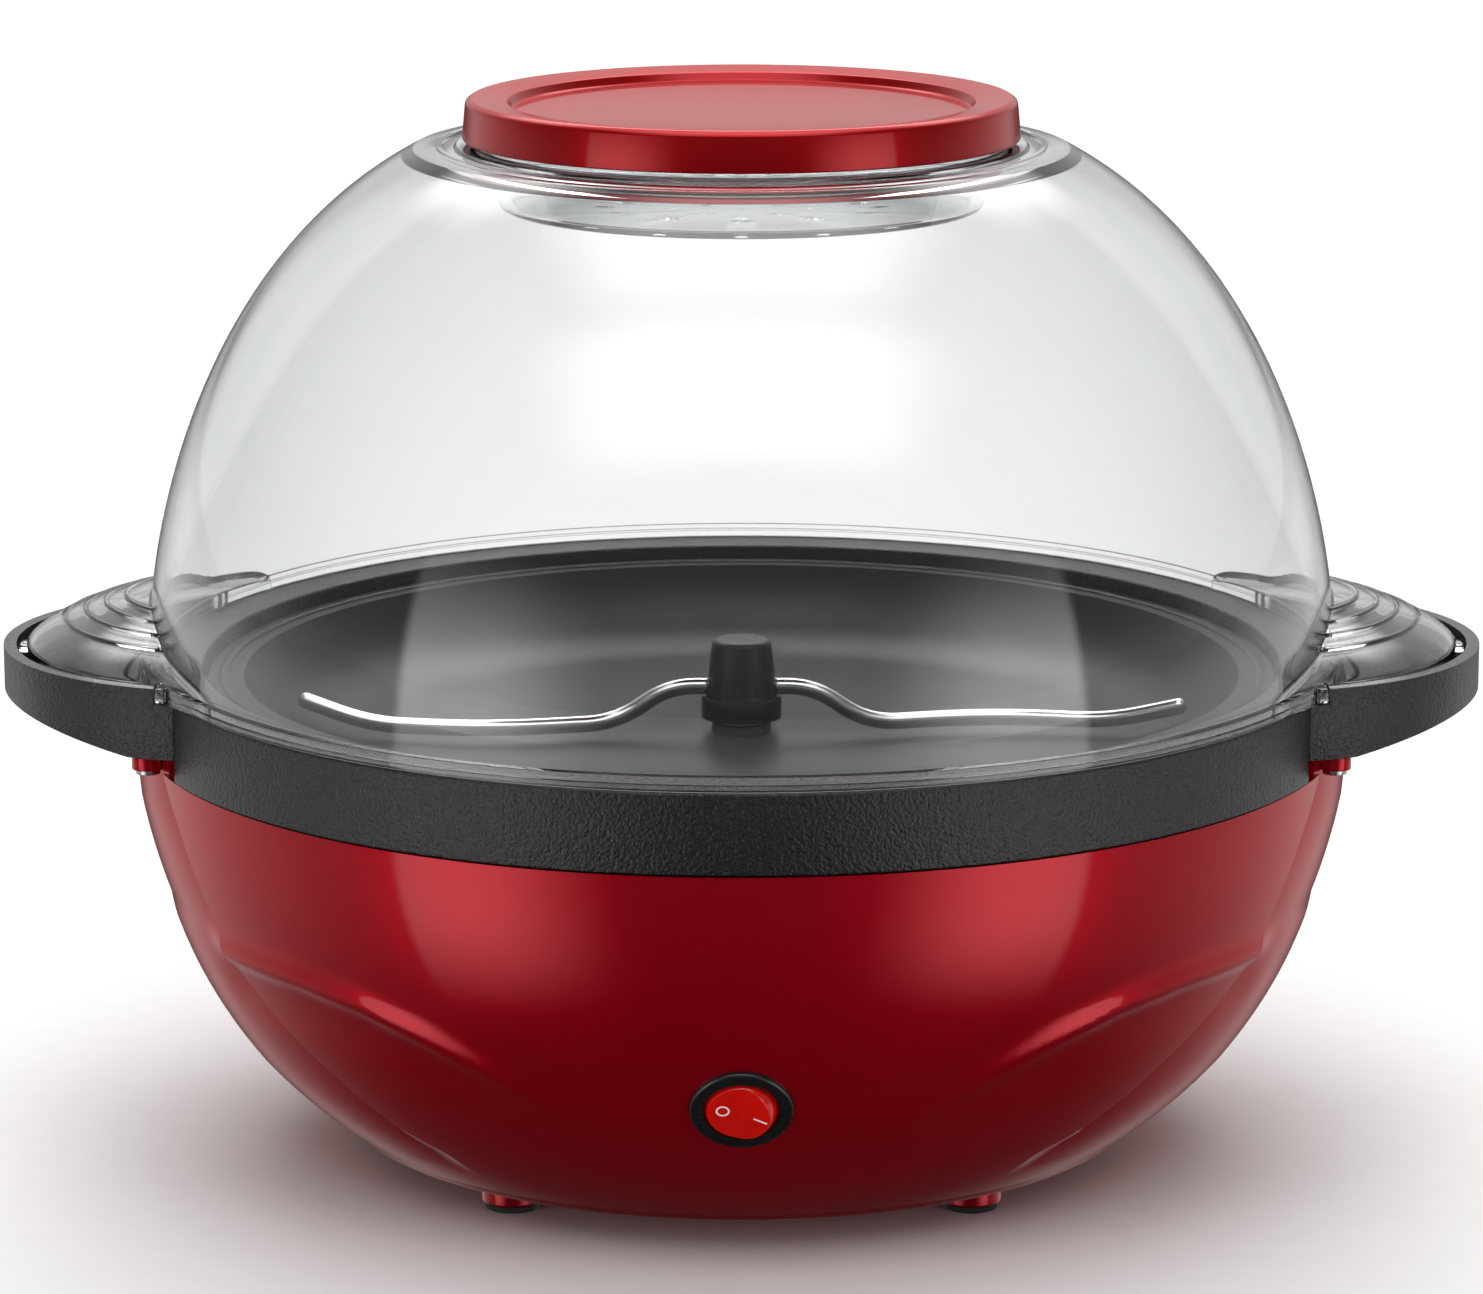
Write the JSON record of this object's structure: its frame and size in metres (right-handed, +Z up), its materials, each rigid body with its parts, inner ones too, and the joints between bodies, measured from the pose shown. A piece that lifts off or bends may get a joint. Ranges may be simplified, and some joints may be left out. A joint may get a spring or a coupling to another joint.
{
  "type": "popcorn maker",
  "caption": "Stirring popcorn maker: red base bowl with handle trays, heated plate with stirring rod, clear dome and a lift-off cap.",
  "frame": {"origin": "on the table, under the middle of the machine", "axes": "+Z up, +X towards the right handle, front with the switch towards -Y"},
  "size_m": [0.35, 0.284, 0.2495],
  "materials": {
    "red_gloss": "glossy deep red",
    "black_textured": "fine grained black",
    "black_plain": "plain black",
    "clear_plastic": "clear, polished",
    "rubber_black": "black rubber",
    "silicone": "grey silicone",
    "coated_plate": "dark non-stick coat on aluminium",
    "bare_aluminium": "pressed aluminium",
    "steel": "plated steel",
    "bright_rod": "polished steel wire",
    "hub_plastic": "heat-proof dark plastic",
    "seal_white": "white seal plastic",
    "ceramic_like": "pale ceramic, stood in for by plastic",
    "phenolic": "brown phenolic",
    "brass": "brass",
    "block_plastic": "white nylon",
    "wire_cover": "heat-proof wire sleeve",
    "rocker_red": "translucent red"
  },
  "bodies": {
    "base": {"base_housing": "red_gloss", "foot_pads": "rubber_black", "bottom_cover": "black_plain", "cover_screws": "steel", "collar_ring": "black_textured", "collar_screws": "steel", "handle_right": "black_textured", "handle_left": "black_textured", "handle_screws": "steel", "popping_plate": "coated_plate", "plate_gasket": "silicone", "shaft_seal": "seal_white", "plate_studs": "steel", "bracket_spacers": "steel", "stud_nuts": "steel", "heat_shield": "bare_aluminium", "heating_element": "steel", "element_terminals": "ceramic_like", "element_clamps": "steel", "thermostat_body": "phenolic", "thermostat_cap": "bare_aluminium", "thermostat_clip": "steel", "thermostat_tabs": "brass", "thermal_fuse": "steel", "fuse_strap": "steel", "motor_bracket": "steel", "motor_can": "steel", "gearbox_case": "steel", "motor_screws": "steel", "switch_body": "black_plain", "switch_terminals": "brass", "inlet_bush": "rubber_black", "terminal_block": "block_plastic", "terminal_screws": "brass", "switch_leads": "wire_cover", "heater_leads": "wire_cover", "motor_leads": "wire_cover"},
    "drive": {"drive_shaft": "steel"},
    "stirrer": {"stir_hub": "hub_plastic", "stir_rod": "bright_rod"},
    "dome": {"dome_cover": "clear_plastic"},
    "cap": {"top_cap": "red_gloss"},
    "rocker": {"switch_rocker": "rocker_red"}
  },
  "joints": [
    {"name": "dome_lift", "type": "slide", "parent": "base", "child": "dome", "axis": [0, 0, 1], "range_m": [0, 0.16]},
    {"name": "cap_lift", "type": "slide", "parent": "dome", "child": "cap", "axis": [0, 0, 1], "range_m": [0, 0.06]},
    {"name": "stirrer_spin", "type": "hinge", "parent": "base", "child": "drive", "pos_m": [0, 0, 0.08], "axis": [0, 0, 1], "continuous": true},
    {"name": "stirrer_lift", "type": "slide", "parent": "drive", "child": "stirrer", "axis": [0, 0, 1], "range_m": [0, 0.04]},
    {"name": "rocker_tilt", "type": "hinge", "parent": "base", "child": "rocker", "pos_m": [0, -0.12497, 0.04278], "axis": [0.1908, -0.4811, 0.8556], "range_deg": [0, 18]}
  ]
}
